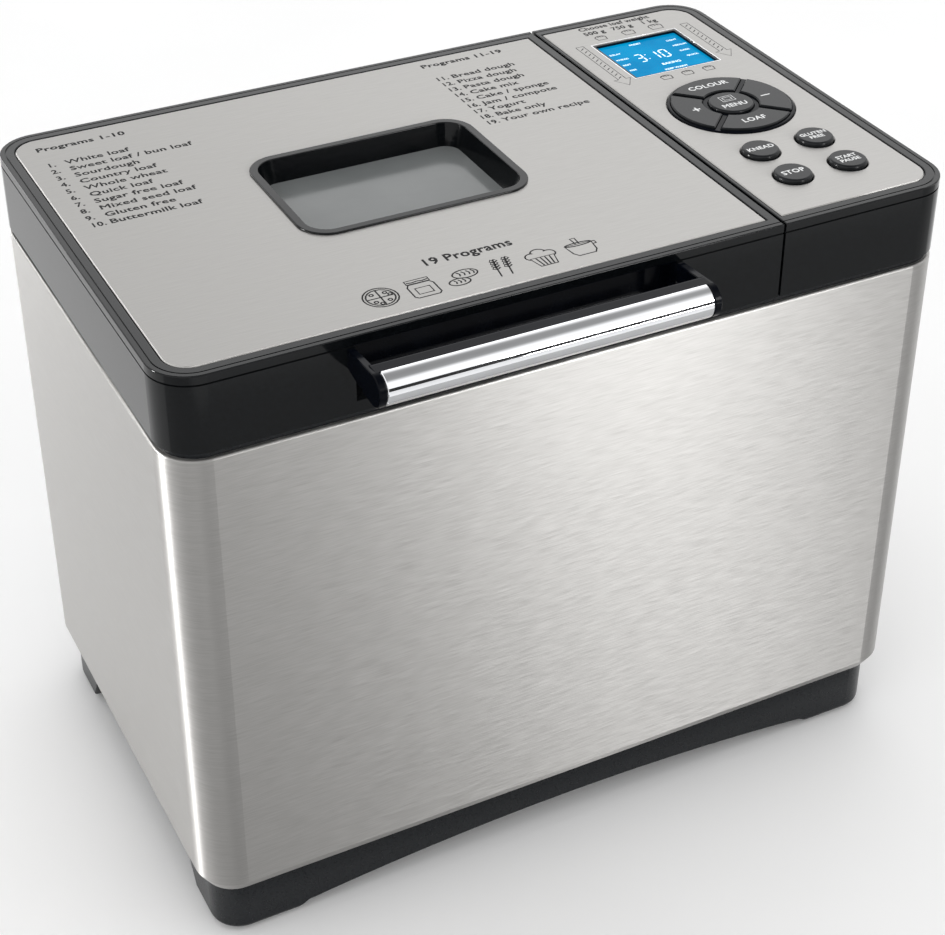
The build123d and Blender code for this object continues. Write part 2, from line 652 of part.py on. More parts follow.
def button_bezel():
    top = TOP_Z + 0.6
    disc = post(DIAL_X, DIAL_Y, DIAL_R, PLATE_SEAT_Z, top)
    disc = chamfer(disc.edges().group_by(Axis.Z)[-1], 0.4)
    disc -= post(DIAL_X, DIAL_Y, MENU_R + FIT, PLATE_SEAT_Z - 1, top + 1)
    for angle in SECTOR_ANGLES.values():
        disc -= sector(SECTOR_IN - FIT, SECTOR_OUT + FIT, DIVIDER - FIT, PLATE_SEAT_Z - 1, top + 1,
                       angle)
    return disc


def sector_button(angle):
    top = TOP_Z + 1.7
    cap = sector(SECTOR_IN, SECTOR_OUT, DIVIDER, PLATE_SEAT_Z - 3, top, angle)
    cap = chamfer(cap.edges().group_by(Axis.Z)[-1], 0.5)
    flange = sector(SECTOR_IN - 0.6, SECTOR_OUT, DIVIDER - 1.0, PLATE_SEAT_Z - 3,
                    PLATE_SEAT_Z - FIT - 1, angle)
    middle = (SECTOR_IN + SECTOR_OUT) / 2
    x = DIAL_X + middle * math.cos(math.radians(angle))
    y = DIAL_Y + middle * math.sin(math.radians(angle))
    return cap + flange + stem(x, y)


def stem(x, y):
    """The short leg that presses a key switch."""
    return post(x, y, 2.2, BOARD_TOP_Z + SWITCH_H + BUTTON_TRAVEL + 0.2, PLATE_SEAT_Z - 2)


def menu_button():
    cap = post(DIAL_X, DIAL_Y, MENU_R, PLATE_SEAT_Z - 3, BUTTON_TOP_Z)
    cap = fillet(cap.edges().group_by(Axis.Z)[-1], 1.0)
    flange = post(DIAL_X, DIAL_Y, MENU_R + 1, PLATE_SEAT_Z - 3, PLATE_SEAT_Z - FIT - 1)
    return cap + flange + stem(DIAL_X, DIAL_Y)


def round_button(x, y):
    ceiling_z = PLATE_SEAT_Z - CEILING_T
    cap = post(x, y, KEY_R, ceiling_z - 2.6, BUTTON_TOP_Z)
    cap = fillet(cap.edges().group_by(Axis.Z)[-1], 1.2)
    flange = post(x, y, KEY_R + 1.4, ceiling_z - 2.6, ceiling_z - FIT)
    return cap + flange + post(x, y, 2.2, BOARD_TOP_Z + SWITCH_H + BUTTON_TRAVEL + 0.2, ceiling_z - 2)


def button_places():
    places = [(DIAL_X, DIAL_Y)] + list(KEY_PLACES.values())
    middle = (SECTOR_IN + SECTOR_OUT) / 2
    for angle in SECTOR_ANGLES.values():
        turn = math.radians(angle)
        places.append((DIAL_X + middle * math.cos(turn), DIAL_Y + middle * math.sin(turn)))
    return places


def control_board():
    """The board with its connector, the display's module and a key switch under each button."""
    board = block(98, 172, -92, 92, BOARD_TOP_Z - 1.6, BOARD_TOP_Z)
    board += block(160, 170, -20, 20, BOARD_TOP_Z - 6, BOARD_TOP_Z - 1.6)
    board += lcd_module()
    for x, y in button_places():
        board += block(x - 3, x + 3, y - 3, y + 3, BOARD_TOP_Z, BOARD_TOP_Z + 3)
        board += post(x, y, 1.7, BOARD_TOP_Z + 3, BOARD_TOP_Z + SWITCH_H)
    return board


def power_board():
    """The board stands on the chassis: a transformer, three relays and two smoothing capacitors."""
    face_y = 57.6
    board = block(92, 168, face_y - 1.6, face_y, CHASSIS_Z + CHASSIS_T, 170)
    board += block(98, 130, face_y, face_y + 24, 120, 155)
    for x in (98, 120, 142):
        board += block(x, x + 16, face_y, face_y + 16, 90, 108)
    for x in (106, 150):
        board += rod_y(x, face_y, face_y + 22, 70, 8)
    return board


# ---------------------------------------------------------------- drive
def chassis_plate():
    plate = slab(300, 124, 10, CHASSIS_Z, CHASSIS_Z + CHASSIS_T, 16, 0)
    plate -= post(CHAMBER_X, 0, 12, CHASSIS_Z - 1, CHASSIS_Z + 3)
    plate -= post(MOTOR_X, 0, 12, CHASSIS_Z - 1, CHASSIS_Z + 3)
    for x, y in boss_places():
        plate -= post(x, y, 1.9, CHASSIS_Z - 1, CHASSIS_Z + 3)
    return plate


def chassis_screws():
    screws = []
    top = CHASSIS_Z + CHASSIS_T
    for x, y in boss_places():
        head = post(x, y, 3.6, top, top + 2.2)
        head -= block(x - 2.4, x + 2.4, y - 0.4, y + 0.4, top + 1.2, top + 3)
        screws.append(head + post(x, y, 1.6, CHASSIS_Z - 12, top))
    return screws


def bearing_housing():
    base = CHASSIS_Z + CHASSIS_T
    housing = post(CHAMBER_X, 0, 30, base, base + 3)
    housing += post(CHAMBER_X, 0, 13, base, CHAMBER_Z)
    housing += post(CHAMBER_X, 0, 26, CHAMBER_Z - 3, CHAMBER_Z)
    for angle in range(0, 360, 60):
        rib = block(12, 28, -1.5, 1.5, base, CHAMBER_Z)
        housing += Pos(CHAMBER_X, 0, 0) * Rot(0, 0, angle) * rib
    housing += post(CHAMBER_X, 0, 13, CHAMBER_Z, CHAMBER_Z + 4)
    return housing - post(CHAMBER_X, 0, BUSH_R, base - 1, CHAMBER_Z + 5)


def bushes():
    base = CHASSIS_Z + CHASSIS_T
    pair = []
    for z in (base, CHAMBER_Z - 4):
        bush = post(CHAMBER_X, 0, BUSH_R, z, z + 8)
        pair.append(bush - post(CHAMBER_X, 0, SHAFT_R + SHAFT_FIT, z - 1, z + 9))
    return pair


def drive_shaft():
    return post(CHAMBER_X, 0, SHAFT_R, 14.0, 60.0)


def toothed_pulley(x, radius, teeth, shaft_r):
    """A belt pulley with round tooth spaces and a hub, bored for its shaft."""
    outline = Circle(radius) - PolarLocations(radius, teeth) * Circle(TOOTH_R)
    rim = extrude(outline, PULLEY_H)
    wheel = rim + Pos(0, 0, -1.2) * extrude(Circle(radius + 1.6), 1.2)
    if radius > 20:
        spaces = Circle(radius - 5) - Circle(12)
        spokes = Rectangle(2 * radius, 8) + Rot(0, 0, 60) * Rectangle(2 * radius, 8)
        spokes += Rot(0, 0, 120) * Rectangle(2 * radius, 8)
        wheel -= Pos(0, 0, -2) * extrude(spaces - spokes, PULLEY_H + 3)
    wheel -= Pos(0, 0, -2) * extrude(Circle(shaft_r), PULLEY_H + 3)
    return Pos(x, 0, PULLEY_Z) * wheel


def drive_belt():
    z = PULLEY_Z + 1.4
    outer = belt_loop(BELT_GAP + BELT_T)
    inner = belt_loop(BELT_GAP)
    return Pos(0, 0, z) * extrude(outer - inner, BELT_H)


def belt_loop(grow):
    """The outline round both pulleys, grown by a distance."""
    big = Pos(CHAMBER_X, 0) * Circle(LARGE_PULLEY_R + grow)
    small = Pos(MOTOR_X, 0) * Circle(SMALL_PULLEY_R + grow)
    return make_hull(big.edges() + small.edges())


def drive_coupler():
    disc = post(CHAMBER_X, 0, 14.0, 56.0, 60.0)
    for angle in (0, 180):
        disc += Pos(CHAMBER_X, 0, 0) * Rot(0, 0, angle) * block(8, 13, -5, 5, 58.0, 68.0)
    return disc - post(CHAMBER_X, 0, SHAFT_R, 55.0, 60.0)


def pan_socket():
    z = CHAMBER_Z + LINER_T
    ring = post(CHAMBER_X, 0, 56, z, z + 1.2) + post(CHAMBER_X, 0, 49, z, z + 12)
    ring -= post(CHAMBER_X, 0, 47, z, z + 13)
    ring += post(CHAMBER_X, 0, 48, z, z + 1.2) - post(CHAMBER_X, 0, 20, z, z + 2)
    leaf = post(CHAMBER_X, 0, 47.2, z, z + 15) - post(CHAMBER_X, 0, 46.0, z - 1, z + 16)
    return ring + (leaf & block(-WIDTH, WIDTH, -9, 9, z, z + 15))


def motor():
    legs_z = CHASSIS_Z + CHASSIS_T
    body = slab(72, 72, 8, 62, 92, MOTOR_X)
    body += post(MOTOR_X, 0, 30, 50, 62) + post(MOTOR_X, 0, 30, 92, 104)
    for sx in (-1, 1):
        for sy in (-1, 1):
            body += post(MOTOR_X + sx * 30, sy * 30, 4, legs_z, 62)
    body -= post(MOTOR_X, 0, 21, 54, 100)
    return body - post(MOTOR_X, 0, ROTOR_SHAFT_R + SHAFT_FIT, 49, 105)


def motor_rotor():
    return post(MOTOR_X, 0, ROTOR_SHAFT_R, 15, 110) + post(MOTOR_X, 0, 20.5, 58, 96)


def capacitor():
    can = post(112, -51, 13, CHASSIS_Z + CHASSIS_T, 88)
    return fillet(can.edges().group_by(Axis.Z)[-1], 2.0)


# ---------------------------------------------------------------- heating
def heating_element():
    """A rod bent round the chamber, with both ends through the right wall."""
    half_w = ELEMENT_W / 2
    half_d = ELEMENT_D / 2
    out_x = CHAMBER_W / 2 + 16
    points = [
        (out_x, 16), (half_w, 16), (half_w, half_d), (-half_w, half_d),
        (-half_w, -half_d), (half_w, -half_d), (half_w, -16), (out_x, -16),
    ]
    radii = [ELEMENT_BEND] + 4 * [ELEMENT_CORNER] + [ELEMENT_BEND]
    route = FilletPolyline(*points, radius=radii)
    route = Pos(CHAMBER_X, 0, ELEMENT_Z) * route
    profile = Plane(route @ 0, z_dir=route % 0) * Circle(ELEMENT_R)
    return sweep(profile, path=route)


def element_clips():
    """Shelves welded to the liner's long walls, which the element lies on."""
    clips = []
    for x in (CHAMBER_X - 50, CHAMBER_X + 50):
        for sy in (-1, 1):
            y0, y1 = sorted((sy * (ELEMENT_D / 2 - 2), sy * (CHAMBER_D / 2 + LINER_T / 2)))
            shelf_z = ELEMENT_Z - ELEMENT_R
            clip = block(x - 4, x + 4, y0, y1, shelf_z - 1.4, shelf_z - 0.05)
            y0, y1 = sorted((sy * (ELEMENT_D / 2 + ELEMENT_R + 0.4), sy * (CHAMBER_D / 2 + LINER_T / 2)))
            clips.append(clip + block(x - 4, x + 4, y0, y1, shelf_z - 1.4, ELEMENT_Z + 3))
    return clips


def temperature_sensor():
    right = CHAMBER_X + CHAMBER_W / 2
    probe = rod_x(right - 14, right + 12, 44, SENSOR_Z, 3.0)
    probe += rod_x(right + 1, right + 3, 44, SENSOR_Z, 6.0)
    return probe


# ---------------------------------------------------------------- pan
def pan_vessel():
    outer = tapered_tub(PAN_W, PAN_D, PAN_R, PAN_Z, PAN_TOP_Z, PAN_TAPER, CHAMBER_X)
    inner = tapered_tub(PAN_W - 2 * PAN_T, PAN_D - 2 * PAN_T, PAN_R - PAN_T, PAN_Z + PAN_T,
                        PAN_TOP_Z, PAN_TAPER, CHAMBER_X)
    rim = slab(PAN_W + 2 * RIM_OUT, PAN_D + 2 * RIM_OUT, PAN_R + RIM_OUT, PAN_TOP_Z - RIM_H,
               PAN_TOP_Z, CHAMBER_X)
    vessel = outer + rim - inner
    vessel -= slab(PAN_W - 2 * PAN_T, PAN_D - 2 * PAN_T, PAN_R - PAN_T, PAN_TOP_Z - 1,
                   PAN_TOP_Z + 1, CHAMBER_X)
    vessel -= post(CHAMBER_X, 0, 9.0, PAN_Z - 1, PAN_Z + 3)
    for sx in (-1, 1):
        x = CHAMBER_X + sx * LUG_X
        lug = block(x - 1, x + 1, -8, 8, PAN_TOP_Z - 2, BAIL_Z + 5)
        lug = fillet(lug.edges().filter_by(Axis.X).group_by(Axis.Z)[-1], 4.0)
        vessel += lug - rod_x(x - 2, x + 2, 0, BAIL_Z, BAIL_R + PIN_FIT)
    return vessel


def pan_skirt():
    skirt = post(CHAMBER_X, 0, 45.4, PAN_Z - 14, PAN_Z)
    skirt -= post(CHAMBER_X, 0, 43.6, PAN_Z - 15, PAN_Z - 2)
    skirt -= post(CHAMBER_X, 0, 9.0, PAN_Z - 3, PAN_Z + 1)
    return skirt


def pan_bush():
    bush = post(CHAMBER_X, 0, 9.0, PAN_Z - 2, PAN_Z + PAN_T)
    bush += post(CHAMBER_X, 0, 11.0, PAN_Z + PAN_T, PAN_Z + 5)
    return bush - post(CHAMBER_X, 0, SHAFT_R + SHAFT_FIT, PAN_Z - 3, PAN_Z + 6)


def pan_shaft():
    shaft = post(CHAMBER_X, 0, SHAFT_R, 61.2, 98.0)
    return shaft - block(CHAMBER_X + 2.8, CHAMBER_X + 5, -5, 5, 76.5, 99)


def pan_coupler():
    wings = block(CHAMBER_X - 3.5, CHAMBER_X + 3.5, -13, 13, 61.2, 67.0)
    wings = fillet(wings.edges().filter_by(Axis.Z), 2.0)
    wings += post(CHAMBER_X, 0, 7.0, 61.2, 67.0)
    return wings - post(CHAMBER_X, 0, SHAFT_R, 61.0, 68.0)


def paddle():
    hub = post(CHAMBER_X, 0, 8.0, 76.5, 97.0)
    blade_side = Polygon((4, 76.5), (4, 103), (16, 104), (46, 86), (48, 73), (13, 73), (13, 76.5),
                         align=None)
    blade = Pos(CHAMBER_X, 0, 0) * Rot(90, 0, 0) * extrude(blade_side, 2.4, both=True)
    body = hub + vertical_edges(blade, 1.5)
    bore = post(CHAMBER_X, 0, SHAFT_R, 76.0, 98.0)
    bore -= block(CHAMBER_X + 2.8, CHAMBER_X + 5, -5, 5, 75, 99)
    return body - bore


def pan_bail():
    """A wire handle, lying forward on the pan's rim, with its ends turned in through the lugs."""
    leg_x = LUG_X + 1 + BAIL_R + 0.5
    end_x = LUG_X - 5
    points = [
        (-end_x, 0), (-leg_x, 0), (-leg_x, -BAIL_REACH), (leg_x, -BAIL_REACH), (leg_x, 0), (end_x, 0),
    ]
    route = FilletPolyline(*points, radius=[2.2, 12.0, 12.0, 2.2])
    route = Pos(CHAMBER_X, 0, BAIL_Z) * route
    profile = Plane(route @ 0, z_dir=route % 0) * Circle(BAIL_R)
    return sweep(profile, path=route)


# ---------------------------------------------------------------- every node
def all_nodes():
    nodes = {
        "base_tray": base_tray(),
        "rubber_feet": rubber_feet(),
        "body_wrap": body_wrap(),
        "rear_panel": rear_panel(),
        "cord_gland": cord_gland(),
        "body_screws": body_screws(),
        "top_deck": top_deck(),
        "chamber_liner": chamber_liner(),
        "heat_shield": heat_shield(),
        "lid_shell": lid_shell(),
        "lid_plate": lid_plate(),
        "window_bezel": window_bezel(),
        "window_glass": window_glass(),
        "lid_liner": lid_liner(),
        "inner_glass": inner_glass(),
        "lid_seal": lid_seal(),
        "lid_screws": lid_screws(),
        "handle_frame": handle_frame(),
        "handle_bar": handle_bar(),
        "lid_hinge_arms": lid_hinge_arms(),
        "hinge_brackets": hinge_brackets(),
        "hinge_pins": hinge_pins(),
        "control_housing": control_housing(),
        "control_plate": control_plate(),
        "lcd_frame": lcd_frame(),
        "lcd_glass": lcd_glass(),
        "button_bezel": button_bezel(),
        "button_menu": menu_button(),
        "control_board": control_board(),
        "power_board": power_board(),
        "chassis_plate": chassis_plate(),
        "chassis_screws": chassis_screws(),
        "bearing_housing": bearing_housing(),
        "bushes": bushes(),
        "drive_shaft": drive_shaft(),
        "large_pulley": toothed_pulley(CHAMBER_X, LARGE_PULLEY_R, LARGE_TEETH, SHAFT_R),
        "drive_coupler": drive_coupler(),
        "drive_belt": drive_belt(),
        "motor_pulley": toothed_pulley(MOTOR_X, SMALL_PULLEY_R, SMALL_TEETH, ROTOR_SHAFT_R),
        "motor": motor(),
        "motor_rotor": motor_rotor(),
        "capacitor": capacitor(),
        "pan_socket": pan_socket(),
        "heating_element": heating_element(),
        "temperature_sensor": temperature_sensor(),
        "pan_vessel": pan_vessel(),
        "pan_skirt": pan_skirt(),
        "pan_bush": pan_bush(),
        "pan_shaft": pan_shaft(),
        "pan_coupler": pan_coupler(),
        "paddle": paddle(),
        "pan_bail": pan_bail(),
    }
    for name, angle in SECTOR_ANGLES.items():
        nodes[name] = sector_button(angle)
    for name, (x, y) in KEY_PLACES.items():
        nodes[name] = round_button(x, y)
    return nodes


def write_nodes(nodes):
    os.makedirs("parts", exist_ok=True)
    for name, shape in nodes.items():
        pieces = shape if isinstance(shape, list) else [shape]
        solids = [Pos(0, SHIFT_Y, 0) * solid for piece in pieces for solid in piece.solids()]
        whole = solids[0] if len(solids) == 1 else Compound(solids)
        export_step(whole, f"parts/{name}.step")
    print(len(nodes), "nodes written")


write_nodes(all_nodes())
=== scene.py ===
"""Looks for a domestic bread machine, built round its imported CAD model. Metres, +Z up."""

import json
import math

import bpy
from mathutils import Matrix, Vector

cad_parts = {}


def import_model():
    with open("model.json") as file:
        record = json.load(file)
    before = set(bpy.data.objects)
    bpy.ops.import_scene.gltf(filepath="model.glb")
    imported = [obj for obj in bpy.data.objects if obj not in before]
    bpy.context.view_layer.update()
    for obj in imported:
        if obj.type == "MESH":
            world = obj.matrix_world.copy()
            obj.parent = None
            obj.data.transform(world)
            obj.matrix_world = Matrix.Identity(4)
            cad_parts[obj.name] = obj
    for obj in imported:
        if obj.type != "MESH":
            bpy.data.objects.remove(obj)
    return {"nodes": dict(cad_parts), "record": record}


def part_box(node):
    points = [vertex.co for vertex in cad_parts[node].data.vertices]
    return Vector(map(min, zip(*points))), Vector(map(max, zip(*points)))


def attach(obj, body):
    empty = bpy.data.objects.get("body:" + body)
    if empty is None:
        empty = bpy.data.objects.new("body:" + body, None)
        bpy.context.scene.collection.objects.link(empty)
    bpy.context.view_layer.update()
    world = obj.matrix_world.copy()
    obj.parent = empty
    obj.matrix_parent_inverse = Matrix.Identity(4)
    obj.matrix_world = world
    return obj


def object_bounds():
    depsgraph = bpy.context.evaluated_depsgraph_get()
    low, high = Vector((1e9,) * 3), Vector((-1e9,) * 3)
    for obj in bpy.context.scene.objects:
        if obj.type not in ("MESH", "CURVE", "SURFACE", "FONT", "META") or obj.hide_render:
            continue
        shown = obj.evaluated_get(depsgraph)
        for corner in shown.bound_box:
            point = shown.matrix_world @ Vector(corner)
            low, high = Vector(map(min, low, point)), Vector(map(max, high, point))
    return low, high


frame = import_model()
CAD_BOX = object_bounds()

MM = 0.001
INK = 0.04 * MM               # how far printed ink stands out of its surface
RELIEF = 0.02 * MM            # depth of the fine relief in the materials
PLATE_LOW, PLATE_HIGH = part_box("lid_plate")
TOP = PLATE_HIGH.z


def middle(node):
    """The middle of a CAD node's box."""
    low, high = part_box(node)
    return (low + high) / 2


# ---------------------------------------------------------------- materials
def even(scale):
    """The same noise scale along all three axes."""
    return (scale, scale, scale)


def stretched_noise(tree, scale):
    """Noise in the object's own space, stretched by a different scale along each axis."""
    place = tree.nodes.new("ShaderNodeTexCoord")
    mapping = tree.nodes.new("ShaderNodeMapping")
    mapping.inputs["Scale"].default_value = scale
    noise = tree.nodes.new("ShaderNodeTexNoise")
    noise.inputs["Scale"].default_value = 1.0
    noise.inputs["Detail"].default_value = 3.0
    tree.links.new(place.outputs["Object"], mapping.inputs["Vector"])
    tree.links.new(mapping.outputs["Vector"], noise.inputs["Vector"])
    return noise.outputs["Fac"]


def between(tree, factor, low, high):
    """A value that runs from low to high over the middle of the noise's range."""
    node = tree.nodes.new("ShaderNodeMapRange")
    node.inputs["From Min"].default_value = 0.3
    node.inputs["From Max"].default_value = 0.7
    node.inputs["To Min"].default_value = low
    node.inputs["To Max"].default_value = high
    tree.links.new(factor, node.inputs["Value"])
    return node.outputs["Result"]


def surface(name, dark, light, scale, rough, bump=0.0, bump_scale=None, **sockets):
    """A material whose colour and roughness vary gently, with an optional fine relief.

    The other arguments are values for the shader's sockets, named with underscores.
    """
    material = bpy.data.materials.new(name)
    material.use_nodes = True
    tree = material.node_tree
    shader = tree.nodes["Principled BSDF"]
    for socket, value in sockets.items():
        shader.inputs[socket.replace("_", " ")].default_value = value
    noise = stretched_noise(tree, scale)
    mix = tree.nodes.new("ShaderNodeMix")
    mix.data_type = "RGBA"
    mix.inputs["A"].default_value = (*dark, 1)
    mix.inputs["B"].default_value = (*light, 1)
    tree.links.new(between(tree, noise, 0.0, 1.0), mix.inputs["Factor"])
    tree.links.new(mix.outputs["Result"], shader.inputs["Base Color"])
    tree.links.new(between(tree, noise, *rough), shader.inputs["Roughness"])
    if bump:
        relief = tree.nodes.new("ShaderNodeBump")
        relief.inputs["Strength"].default_value = bump
        relief.inputs["Distance"].default_value = RELIEF
        height = noise if bump_scale is None else stretched_noise(tree, bump_scale)
        tree.links.new(height, relief.inputs["Height"])
        tree.links.new(relief.outputs["Normal"], shader.inputs["Normal"])
    return material


def brushed(name, dark, light, scale, rough, around, bump=0.35):
    """Satin metal with fine brush lines that run round the given axis."""
    material = surface(name, dark, light, scale, rough, bump, Metallic=1.0, Anisotropic=0.9,
                       Anisotropic_Rotation=0.25)
    tree = material.node_tree
    tangent = tree.nodes.new("ShaderNodeTangent")
    tangent.direction_type = "RADIAL"
    tangent.axis = around
    tree.links.new(tangent.outputs["Tangent"], tree.nodes["Principled BSDF"].inputs["Tangent"])
    return material


def glowing(name, dark, light, scale, strength, **sockets):
    """A lit display colour under a glossy front."""
    material = surface(name, dark, light, scale, (0.16, 0.24), **sockets)
    tree = material.node_tree
    shader = tree.nodes["Principled BSDF"]
    colour = shader.inputs["Base Color"].links[0].from_socket
    tree.links.new(colour, shader.inputs["Emission Color"])
    shader.inputs["Emission Strength"].default_value = strength
    return material


def make_metals():
    """Sheet, wire and cast metals, by the record's slot names."""
    return {
        "steel_wrap": brushed(
            "steel_wrap", (0.40, 0.392, 0.38), (0.47, 0.462, 0.45), (90, 90, 2600), (0.36, 0.44), "Z"),
        "steel_plate": brushed(
            "steel_plate", (0.46, 0.452, 0.438), (0.53, 0.522, 0.508), (90, 2600, 90), (0.34, 0.42), "Y"),
        "liner_steel": brushed(
            "liner_steel", (0.52, 0.52, 0.51), (0.58, 0.58, 0.57), (60, 1500, 1500), (0.34, 0.40), "Z", 0.2),
        "chrome_trim": surface(
            "chrome_trim", (0.84, 0.85, 0.87), (0.92, 0.93, 0.95), (40, 200, 200), (0.02, 0.035),
            Metallic=1.0),
        "zinc_steel": surface(
            "zinc_steel", (0.44, 0.45, 0.46), (0.54, 0.55, 0.56), even(260), (0.34, 0.46), 0.15, even(900),
            Metallic=1.0),
        "pan_coat": surface(
            "pan_coat", (0.045, 0.045, 0.048), (0.085, 0.085, 0.09), even(1400), (0.34, 0.46), 0.3,
            even(2600), Metallic=0.35),
        "cast_metal": surface(
            "cast_metal", (0.42, 0.42, 0.42), (0.56, 0.56, 0.55), even(500), (0.45, 0.60), 0.4, even(1800),
            Metallic=1.0),
        "element": surface(
            "element", (0.07, 0.066, 0.062), (0.13, 0.12, 0.11), even(120), (0.40, 0.55), 0.2, even(900),
            Metallic=0.8),
        "bronze": surface(
            "bronze", (0.45, 0.28, 0.13), (0.60, 0.40, 0.20), even(500), (0.35, 0.50), Metallic=1.0),
        "motor_metal": surface(
            "motor_metal", (0.36, 0.37, 0.38), (0.50, 0.51, 0.52), (120, 120, 1500), (0.35, 0.50), 0.2,
            Metallic=1.0),
        "can": surface(
            "can", (0.30, 0.31, 0.33), (0.42, 0.43, 0.45), (200, 200, 900), (0.25, 0.38), Metallic=1.0),
        "wire": surface(
            "wire", (0.60, 0.60, 0.60), (0.74, 0.74, 0.74), even(200), (0.16, 0.28), Metallic=1.0),
    }


def make_plastics():
    """Plastics, rubbers and glass, by the record's slot names."""
    return {
        "black_plastic": surface(
            "black_plastic", (0.002, 0.0025, 0.003), (0.004, 0.005, 0.006), even(700), (0.09, 0.12), 0.03,
            even(900), Specular_IOR_Level=0.27),
        "base_plastic": surface(
            "base_plastic", (0.005, 0.006, 0.008), (0.009, 0.011, 0.013), even(900), (0.26, 0.32), 0.25,
            even(2200), Specular_IOR_Level=0.27),
        "button_plastic": surface(
            "button_plastic", (0.008, 0.009, 0.010), (0.014, 0.015, 0.017), even(150), (0.16, 0.24), 0.08,
            even(900), Specular_IOR_Level=0.2),
        "pulley_plastic": surface(
            "pulley_plastic", (0.50, 0.49, 0.45), (0.60, 0.59, 0.55), even(250), (0.40, 0.55)),
        "window_glass": surface(
            "window_glass", (0.16, 0.17, 0.17), (0.185, 0.195, 0.195), even(40), (0.10, 0.16),
            Transmission_Weight=0.2, IOR=1.52, Specular_IOR_Level=0.3),
        "display_glass": glowing(
            "display_glass", (0.0, 0.155, 0.34), (0.0, 0.21, 0.41), even(60), 0.6, Specular_IOR_Level=0.01),
        "rubber": surface(
            "rubber", (0.014, 0.014, 0.015), (0.028, 0.028, 0.029), even(400), (0.55, 0.70), 0.3, even(2500)),
        "silicone": surface(
            "silicone", (0.24, 0.24, 0.23), (0.30, 0.30, 0.29), even(200), (0.45, 0.55)),
        "belt": surface(
            "belt", (0.012, 0.012, 0.012), (0.024, 0.024, 0.024), even(900), (0.60, 0.75), 0.3, even(2500)),
        "board": surface(
            "board", (0.012, 0.10, 0.045), (0.022, 0.16, 0.07), even(350), (0.35, 0.50), 0.1, even(900)),
    }


MATERIALS = make_metals() | make_plastics()
INK_BLACK = surface(
    "ink_black", (0.004, 0.004, 0.005), (0.010, 0.010, 0.011), even(700), (0.40, 0.55),
    Specular_IOR_Level=0.12)
INK_WHITE = surface("ink_white", (0.72, 0.73, 0.73), (0.82, 0.83, 0.83), even(700), (0.40, 0.55))
LCD_WHITE = glowing("lcd_white", (0.62, 0.80, 0.88), (0.72, 0.86, 0.92), even(300), 0.9)
# Deep black with little gloss: the own colour of the dial's ring and the handle, and painted shade on the
# walls of the finger hollow.
DEEP_BLACK_AND_PAINTED_SHADE = surface(
    "deep_black_and_painted_shade", (0.001, 0.0015, 0.003), (0.002, 0.003, 0.006), even(80), (0.14, 0.20), 0.04, even(900),
    Specular_IOR_Level=0.08)
# Upward faces of the black shells: satin, with a lighter colour than black_plastic that is painted sheen from
# above.
RIM_SATIN_PAINTED_SHEEN = surface(
    "rim_satin_painted_sheen", (0.006, 0.007, 0.008), (0.012, 0.013, 0.014), even(60), (0.22, 0.30), 0.06, even(1200),
    Specular_IOR_Level=0.3)
CHIP_BLACK = surface("chip_black", (0.012, 0.012, 0.013), (0.026, 0.026, 0.028), even(600), (0.35, 0.5))


def dress_nodes():
    """Gives every CAD node the finish its record names."""
    for part in frame["record"]["subparts"]:
        mesh = frame["nodes"][part["node"]].data
        mesh.materials.clear()
        mesh.materials.append(MATERIALS[part["material_slot"]])


def paint_faces(node, material, wanted):
    """Gives a second material to the faces of a node that pass the test."""
    mesh = frame["nodes"][node].data
    mesh.materials.append(material)
    index = len(mesh.materials) - 1
    for face in mesh.polygons:
        if wanted(face):
            face.material_index = index


def dress_rims():
    """The flat rims round the steel plates are satin and a little lighter than the rest of their black
    shells, as painted sheen on the upward faces; the dial's ring and the handle are deep black.
    """
    for node in ("lid_shell", "control_housing"):
        # the upward faces take the lighter satin: painted sheen
        paint_faces(node, RIM_SATIN_PAINTED_SHEEN, lambda face: face.normal.z > 0.9)
    for node in ("button_bezel", "handle_frame"):
        frame["nodes"][node].data.materials[0] = DEEP_BLACK_AND_PAINTED_SHADE


def paint_scoop_shade():
    """The walls of the hollow for the fingers, behind the handle, get the deep black with little gloss as
    painted shade.
    """
    low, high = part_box("handle_frame")
    shell_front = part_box("lid_shell")[0].y
    scoop_depth = 40 * MM

    def inside(face):
        """Whether a face of the shell is one of the hollow's walls."""
        across = low.x - 1 * MM < face.center.x < high.x + 1 * MM
        behind = shell_front + 0.5 * MM < face.center.y < shell_front + scoop_depth
        return across and behind and abs(face.normal.z) < 0.9

    # painted shade: the hollow's walls get the deep black with little gloss
    paint_faces("lid_shell", DEEP_BLACK_AND_PAINTED_SHADE, inside)


def dress_boards():
    """What is soldered to the two boards is black; the boards themselves stay green."""
    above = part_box("button_menu")[0].z - 5 * MM
    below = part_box("control_board")[0].z + 3 * MM
    paint_faces("control_board", CHIP_BLACK, lambda face: face.center.z > above or face.center.z < below)
    board_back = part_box("power_board")[0].y + 2 * MM
    paint_faces("power_board", CHIP_BLACK, lambda face: face.center.y > board_back)


# ---------------------------------------------------------------- print and legends
def add(name, data, material):
    """Links a new object and gives it its material."""
    obj = bpy.data.objects.new(name, data)
    bpy.context.scene.collection.objects.link(obj)
    data.materials.append(material)
    return obj


def chosen(*objects):
    """Makes these the selected objects, the first one active."""
    bpy.ops.object.select_all(action="DESELECT")
    for obj in objects:
        obj.select_set(True)
    bpy.context.view_layer.objects.active = objects[0]


